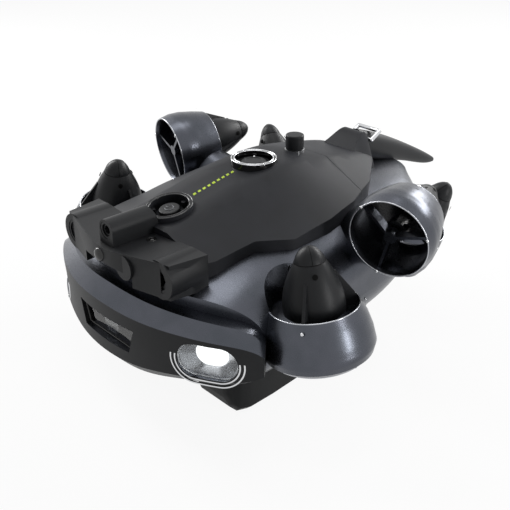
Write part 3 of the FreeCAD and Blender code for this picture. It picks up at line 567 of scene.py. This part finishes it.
class VEHICLE_OT_stage(bpy.types.Operator):
    """Pale floor, white surround, softboxes and the camera."""
    bl_idname = "vehicle.stage"
    bl_label = "Stage"

    def execute(self, context):
        settings = context.scene.vehicle_stage
        a, e = math.radians(settings.azimuth), math.radians(settings.elevation)
        back = Vector((math.sin(a) * math.cos(e), -math.cos(a) * math.cos(e), math.sin(e)))
        camera = bpy.data.objects.new("camera", bpy.data.cameras.new("camera"))
        context.collection.objects.link(camera)
        camera.data.lens = settings.lens
        camera.data.sensor_width = SENSOR_MM
        camera.data.clip_start, camera.data.clip_end = 0.02, 20.0
        camera.location = Vector(settings.target) + back * settings.distance
        camera.rotation_euler = back.to_track_quat("Z", "Y").to_euler()
        context.scene.camera = camera

        floor_mesh = bpy.data.meshes.new("floor")
        edge = FLOOR_HALF
        floor_mesh.from_pydata([(-edge, -edge, 0), (edge, -edge, 0), (edge, edge, 0), (-edge, edge, 0)], [],
                               [(0, 1, 2, 3)])
        floor = bpy.data.objects.new("floor", floor_mesh)
        context.collection.objects.link(floor)
        floor_mesh.materials.append(self.floor_finish())

        self.surround(context, settings.fill)
        for name, place, width, height, power in SOFTBOXES:
            self.softbox(context, name, place, width, height, getattr(settings, power))
        context.scene.view_settings.view_transform = "Standard"
        return {"FINISHED"}

    @staticmethod
    def floor_finish():
        """White paper sweep: white where it is looked at or mirrored, a soft shadow under the vehicle."""
        material, tree = new_material("paper_sweep")
        paper = add_node(tree, "ShaderNodeBsdfDiffuse", sockets={"Color": srgb("#f6f6f6")})
        glow = add_node(tree, "ShaderNodeEmission", sockets={"Color": srgb("#ffffff"), "Strength": 1.0})
        share = add_node(tree, "ShaderNodeMath", [(0, looked_at(tree))], operation="MULTIPLY")
        share.inputs[1].default_value = FLOOR_GLOW
        mix = add_node(tree, "ShaderNodeMixShader", [("Fac", share.outputs[0])])
        tree.links.new(paper.outputs[0], mix.inputs[1])
        tree.links.new(glow.outputs[0], mix.inputs[2])
        output = add_node(tree, "ShaderNodeOutputMaterial")
        tree.links.new(mix.outputs[0], output.inputs["Surface"])
        return material

    @staticmethod
    def surround(context, fill):
        """White to the camera, mirrors and glass; an even grey light to everything else."""
        world = bpy.data.worlds.new("studio")
        world.use_nodes = True
        tree = world.node_tree
        tree.nodes.clear()
        level = add_node(tree, "ShaderNodeMapRange", [("Value", looked_at(tree))],
                         sockets={"To Min": fill, "To Max": 1.0})
        shade = add_node(tree, "ShaderNodeBackground", [("Strength", level.outputs["Result"])],
                         sockets={"Color": srgb("#ffffff")})
        output = add_node(tree, "ShaderNodeOutputWorld")
        tree.links.new(shade.outputs[0], output.inputs["Surface"])
        context.scene.world = world

    @staticmethod
    def softbox(context, name, place, width, height, power):
        """A rectangular area light that faces the vehicle."""
        lamp = bpy.data.lights.new(name, "AREA")
        lamp.shape, lamp.size, lamp.size_y, lamp.energy = "RECTANGLE", width, height, power
        item = bpy.data.objects.new(name, lamp)
        context.collection.objects.link(item)
        item.location = place
        item.rotation_euler = (Vector(AIM) - Vector(place)).to_track_quat("-Z", "Y").to_euler()


class VEHICLE_OT_finishes(bpy.types.Operator):
    """Give every piece of the frame its finish, with its curved faces shaded smooth."""
    bl_idname = "vehicle.finishes"
    bl_label = "Finishes"

    def execute(self, context):
        for node in frame["nodes"]:
            dress(node)
            smoothed(node)
        return {"FINISHED"}


class VEHICLE_OT_lips(bpy.types.Operator):
    """Rolled edge round both ends of every duct, in bright metal that paints the highlight along each lip."""
    bl_idname = "vehicle.lips"
    bl_label = "Duct lips"

    def execute(self, context):
        rings = []
        for where, side, place in thrusters(context):
            duct = "duct_" + where + "_" + side
            for height in (0.0, within(duct, place)[1].max()):
                low, high = radius_near(duct, place, height, 0.4 * MM)
                rings.append(bead((low + high) / 2, height, (high - low) / 2 + 0.05 * MM, place))
        # Painted highlight: the lip beads get a bright metal so each duct edge reads as a lit line.
        made("duct_lips", rings, "hull", "polished_steel", painted_highlight_edge(), 80.0)
        return {"FINISHED"}


class VEHICLE_OT_screws(bpy.types.Operator):
    """Small steel heads: at the guard arms, outside the fins and round the plug of the port."""
    bl_idname = "vehicle.screws"
    bl_label = "Screws"

    def execute(self, context):
        trim = context.scene.vehicle_trim
        heads = []
        for where, side, place in thrusters(context):
            duct = "duct_" + where + "_" + side
            motor_end = within(duct, place)[1].max()
            lip = sum(radius_near(duct, place, 0.0, 0.4 * MM)) / 2
            row = motor_end - trim.screw_inset
            skirt = radius_near(duct, place, row, 6 * MM)[1]
            for turn in range(3):
                guard, fin = math.radians(120 * turn), math.radians(120 * turn + 60)
                out = (math.cos(fin), math.sin(fin), 0.0)
                for spot, axis in ((ring_point(lip, guard, -0.6 * MM), DOWN),
                                   (ring_point(skirt, fin, row), out)):
                    seat = place @ place_at(spot, upright(axis))
                    heads.append(dome(trim.screw_radius, trim.screw_height, seat))
        plug = tops("port_plug", (0, 0, 1))
        for turn in range(4):
            spot = ring_point(trim.port_screws, math.radians(90 * turn + 45), -1.2 * MM)
            heads.append(dome(trim.screw_radius, trim.screw_height, plug @ place_at(spot, np.eye(3))))
        made("small_screws", heads, "hull", "polished_steel", None, 80.0)
        return {"FINISHED"}


class VEHICLE_OT_pod_marks(bpy.types.Operator):
    """Joint line, cap seams and drain holes of every motor pod, on the outlines of the pod and its nose; lines and
    holes are drawn in painted shade black.
    """
    bl_idname = "vehicle.pod_marks"
    bl_label = "Pod marks"

    def execute(self, context):
        trim = context.scene.vehicle_trim
        lines, holes = [], []
        for where, side, place in thrusters(context):
            pod, nose = "motor_pod_" + where + "_" + side, "pod_nose_" + where + "_" + side
            r, z = within(nose, place)
            seam = z.min()
            lines.append(bead(r.max() - 0.05 * MM, seam, trim.seam, place))
            order = np.argsort(z)
            for turn in range(3):
                a = math.radians(120 * turn + trim.drain_turn)
                run = np.linspace(seam, z.max() - 0.3 * MM, 12)
                out = np.interp(run, z[order], r[order])
                path = np.stack([out * math.cos(a), out * math.sin(a), run], axis=-1)
                lines.append(rod(moved(path, place), trim.seam * 0.7))
                height = seam - trim.drain_drop
                bulk = radius_near(pod, place, height, 3 * MM)[1]
                facing = upright((math.cos(a), math.sin(a), 0.25))
                holes.append(dome(trim.drain_radius, 0.35 * MM,
                                  place @ place_at(ring_point(bulk, a, height), facing)))
        # Painted shade: the joint strands and flat drain caps stand for unlit gaps and holes.
        made("pod_joint_lines", lines, "hull", "matte_black", seam_shadow(), 80.0)
        made("pod_drain_holes", holes, "hull", "matte_black", seam_shadow(), 60.0)
        return {"FINISHED"}


class VEHICLE_OT_power_mark(bpy.types.Operator):
    """Open ring and bar on top of the button, the usual sign for on and off."""
    bl_idname = "vehicle.power_mark"
    bl_label = "Power mark"

    def execute(self, context):
        trim = context.scene.vehicle_trim
        place = button_top()
        t = np.radians(np.linspace(180 + 40, 180 + 320, 28))
        lift = 0.1 * MM
        arc = np.stack([trim.mark_radius * np.cos(t), trim.mark_radius * np.sin(t), np.full(len(t), lift)],
                       axis=-1)
        bar = np.linspace((-0.35 * trim.mark_radius, 0, lift), (-1.25 * trim.mark_radius, 0, lift), 4)
        strokes = [rod(moved(line, place), trim.mark_stroke) for line in (arc, bar)]
        made("power_mark", strokes, "power_button", "matte_black", pale_ink(), 80.0)
        return {"FINISHED"}


class VEHICLE_OT_rings(bpy.types.Operator):
    """Turned edges of the two round deck fittings, polished steel on the port ring as a painted highlight, and the
    raised circle on the plug.
    """
    bl_idname = "vehicle.rings"
    bl_label = "Fitting edges"

    def execute(self, context):
        trim = context.scene.vehicle_trim
        port = tops("port_plug", (0, 0, 1))
        power = button_top()
        bright, dark = [], []
        for node, place, rings in (("port_ring", port, bright), ("power_bezel", power, dark)):
            height = within(node, place)[1].max()
            inner, outer = radius_near(node, place, height, 0.2 * MM)
            rings.append(bead(inner + trim.edge, height - 0.2 * MM, trim.edge, place))
            rings.append(bead(outer - trim.edge, height - 0.2 * MM, trim.edge, place))
        # Painted highlight: polished steel beads along the port ring's edges stand for the light its gloss black
        # edges catch.
        made("port_edges", bright, "hull", "polished_steel", None, 80.0)
        made("bezel_edges", dark, "hull", "gloss_black", None, 80.0)
        made("plug_circle", [bead(0.7 * within("port_plug", port)[0].max(), 0.0, 0.35 * MM, port)],
             "port_plug", "matte_black", None, 80.0)
        return {"FINISHED"}


class VEHICLE_OT_stripe(bpy.types.Operator):
    """A row of plain slanted lime dashes along the middle of the top cover."""
    bl_idname = "vehicle.stripe"
    bl_label = "Lime dashes"

    def execute(self, context):
        trim = context.scene.vehicle_trim
        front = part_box("power_bezel")[1][1] + trim.dash_margin
        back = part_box("port_ring")[0][1] - trim.dash_margin
        starts = np.linspace(front, back - trim.dash_length, trim.dashes)
        pads = []
        for y in starts:
            low, high = (touch("top_cover", (0.0, at, 1.0), DOWN)[0][2] for at in (y, y + trim.dash_length))
            rise = (high - low) / trim.dash_length
            half, slant = trim.dash_width / 2, trim.dash_width * 0.35
            outline = np.array([(half, y), (half, y + trim.dash_length - slant),
                                (-half, y + trim.dash_length), (-half, y + slant)])
            flat = np.column_stack([outline, low + rise * (outline[:, 1] - y)])
            pads.append(slab(flat, 0.15 * MM))
        made("lime_dashes", pads, "hull", "cover_black", lime_ink(), 30.0)
        return {"FINISHED"}


class VEHICLE_OT_lens_inserts(bpy.types.Operator):
    """Six-sided inserts round the three lenses of the sensor bar."""
    bl_idname = "vehicle.lens_inserts"
    bl_label = "Lens inserts"

    def execute(self, context):
        points = corners("bar_lenses")
        rings = []
        for group in (points[:, 0] > 20 * MM, points[:, 0] < -20 * MM, np.abs(points[:, 0]) < 20 * MM):
            low, high = points[group].min(axis=0), points[group].max(axis=0)
            radius = (high[0] - low[0]) / 2
            middle = ((low[0] + high[0]) / 2, low[1], (low[2] + high[2]) / 2)
            rings.append(six_sided(radius, 0.62 * radius, 2.4 * MM, place_at(middle, upright((0, -1, 0)))))
        made("lens_inserts", rings, "hull", "matte_black", None, 25.0)
        return {"FINISHED"}


class VEHICLE_OT_camera_trim(bpy.types.Operator):
    """Gloss gasket round the camera window."""
    bl_idname = "vehicle.camera_trim"
    bl_label = "Camera gasket"

    def execute(self, context):
        points = corners("camera_window")
        front = points[:, 1].min()
        top, foot = points[:, 2].max(), points[:, 2].min()
        wide = points[points[:, 2] > top - 0.1 * MM][:, 0].max()
        narrow = points[points[:, 2] < foot + 0.1 * MM][:, 0].max()
        loop = np.array([(wide, front, top), (-wide, front, top),
                         (-narrow, front, foot), (narrow, front, foot)])
        inward = np.sign(loop * (0, 0, 1) - (0, 0, (top + foot) / 2)) * (0, 0, -0.6 * MM)
        inset = loop * (0.985, 1, 1) + inward
        path = np.concatenate([np.linspace(a, b, 12, endpoint=False)
                               for a, b in zip(inset, np.roll(inset, -1, axis=0))])
        made("camera_gasket", [rod(path, 0.8 * MM, True)], "hull", "gloss_black", None, 60.0)
        return {"FINISHED"}


class VEHICLE_OT_bar_details(bpy.types.Operator):
    """Recessed screw on a wing of the sensor bar with its well in painted shade, and the small dome under its
    tube.
    """
    bl_idname = "vehicle.bar_details"
    bl_label = "Sensor bar details"

    def execute(self, context):
        trim = context.scene.vehicle_trim
        spot, normal = touch("sensor_bar", (trim.wing_screw[0], trim.wing_screw[1], 1.0), DOWN)
        seat = place_at(spot, upright(normal))
        # Painted shade: a flat dark cap stands for the unlit hollow round the screw.
        made("wing_screw_well", [dome(3.6 * MM, 0.15 * MM, seat)], "hull", "matte_black", seam_shadow(),
             60.0)
        made("wing_screw", [dome(2.0 * MM, 0.9 * MM, seat), bead(3.6 * MM, 0.1 * MM, 0.3 * MM, seat)],
             "hull", "gloss_black", None, 80.0)
        spot, normal = touch("sensor_bar", (trim.nose_dome[0], -1.0, trim.nose_dome[1]), AFT)
        seat = place_at(spot, upright(normal))
        made("nose_dome", [dome(5.5 * MM, 3.0 * MM, seat)], "hull", "gloss_black", None, 80.0)
        return {"FINISHED"}


OPERATORS = (
    VEHICLE_OT_stage, VEHICLE_OT_finishes, VEHICLE_OT_lips, VEHICLE_OT_screws, VEHICLE_OT_pod_marks,
    VEHICLE_OT_power_mark, VEHICLE_OT_rings, VEHICLE_OT_stripe, VEHICLE_OT_lens_inserts,
    VEHICLE_OT_camera_trim, VEHICLE_OT_bar_details,
)


class VEHICLE_PT_panel(bpy.types.Panel):
    """Buttons for every piece."""
    bl_idname = "VEHICLE_PT_panel"
    bl_label = "Inspection Vehicle"
    bl_space_type = "VIEW_3D"
    bl_region_type = "UI"
    bl_category = "Vehicle"

    def draw(self, context):
        """One button for each operator."""
        for operator in OPERATORS:
            self.layout.operator(operator.bl_idname)


CLASSES = (StageSettings, TrimSettings) + OPERATORS + (VEHICLE_PT_panel,)


def register():
    """Register every class and hang the settings on the scene."""
    for cls in CLASSES:
        bpy.utils.register_class(cls)
    bpy.types.Scene.vehicle_stage = bpy.props.PointerProperty(type=StageSettings)
    bpy.types.Scene.vehicle_trim = bpy.props.PointerProperty(type=TrimSettings)


def unregister():
    """Undo register."""
    del bpy.types.Scene.vehicle_stage
    del bpy.types.Scene.vehicle_trim
    for cls in reversed(CLASSES):
        bpy.utils.unregister_class(cls)


def main():
    """Run every operator in order."""
    register()
    for operator in OPERATORS:
        group, name = operator.bl_idname.split(".")
        getattr(getattr(bpy.ops, group), name)()


if __name__ == "__main__":
    main()
